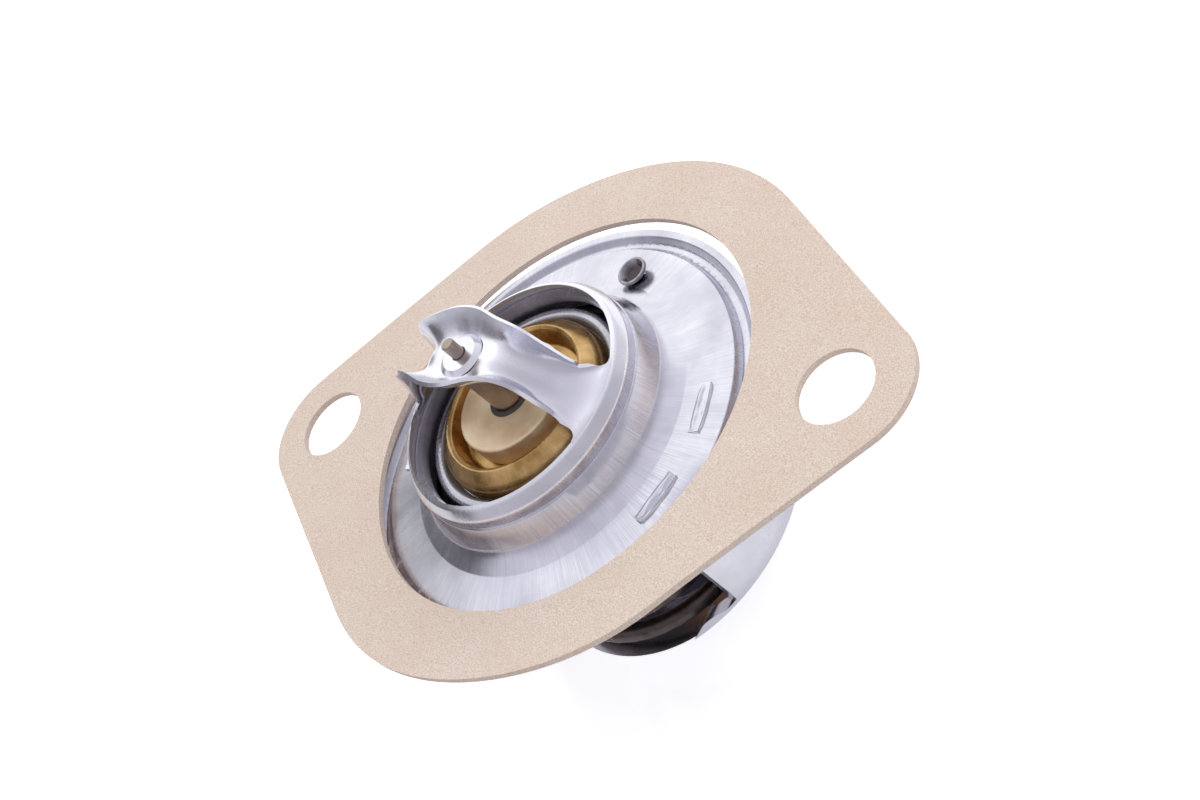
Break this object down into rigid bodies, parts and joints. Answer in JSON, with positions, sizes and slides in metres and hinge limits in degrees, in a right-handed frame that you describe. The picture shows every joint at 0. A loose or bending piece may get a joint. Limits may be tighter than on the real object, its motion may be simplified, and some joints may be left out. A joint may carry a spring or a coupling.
{
  "type": "engine thermostat",
  "caption": "Wax thermostat for an engine's cooling circuit: pressed steel flange, lipped bridge, sprung brass valve, lower frame, and a loose paper gasket.",
  "frame": {"origin": "centre of the flange's rim, in the plane of the rim's upper face where the gasket belongs", "axes": "+Z along the valve's axis towards the piston's tip, +X through the gasket's two bolt holes, +Y across it"},
  "size_m": [0.0928, 0.0688, 0.0455],
  "materials": {
    "pressed_steel": "bright pressed stainless sheet with fine brush marks",
    "polished_steel": "smooth satin stainless sheet with bright cut edges",
    "drawn_steel": "satin deep-drawn stainless sheet",
    "valve_steel": "smooth grey pressed steel",
    "seal_rubber": "black moulded rubber",
    "boot_rubber": "black moulded rubber",
    "hub_brass": "turned brass, slightly dulled",
    "cup_brass": "drawn brass",
    "guide_brass": "turned bronze-toned brass with fine tool marks",
    "wax": "copper-filled wax",
    "piston_steel": "ground stainless rod",
    "spring_steel": "dark hard-drawn wire, lightly oiled",
    "pin_steel": "bright steel",
    "gasket_paper": "tan pressed paper with fine fibres"
  },
  "bodies": {
    "housing": {"flange": "pressed_steel", "bridge": "polished_steel", "lower_frame": "drawn_steel", "piston": "piston_steel", "gasket": "gasket_paper", "main_spring": "spring_steel"},
    "valve": {"valve_plate": "valve_steel", "valve_seal": "seal_rubber", "valve_hub": "hub_brass", "wax_cup": "cup_brass", "piston_guide": "guide_brass", "lip_ring": "seal_rubber", "rubber_boot": "boot_rubber", "wax_charge": "wax"},
    "vent": {"vent_pin": "pin_steel", "vent_bob": "pin_steel"}
  },
  "joints": [
    {"name": "valve_lift", "type": "slide", "parent": "housing", "child": "valve", "axis": [0, 0, -1], "range_m": [0, 0.008], "stiffness_N_per_m": 2000, "springref_m": -0.003, "deforming": ["main_spring"]},
    {"name": "vent_lift", "type": "slide", "parent": "housing", "child": "vent", "axis": [0, 0, 1], "range_m": [0, 0.0015]}
  ]
}
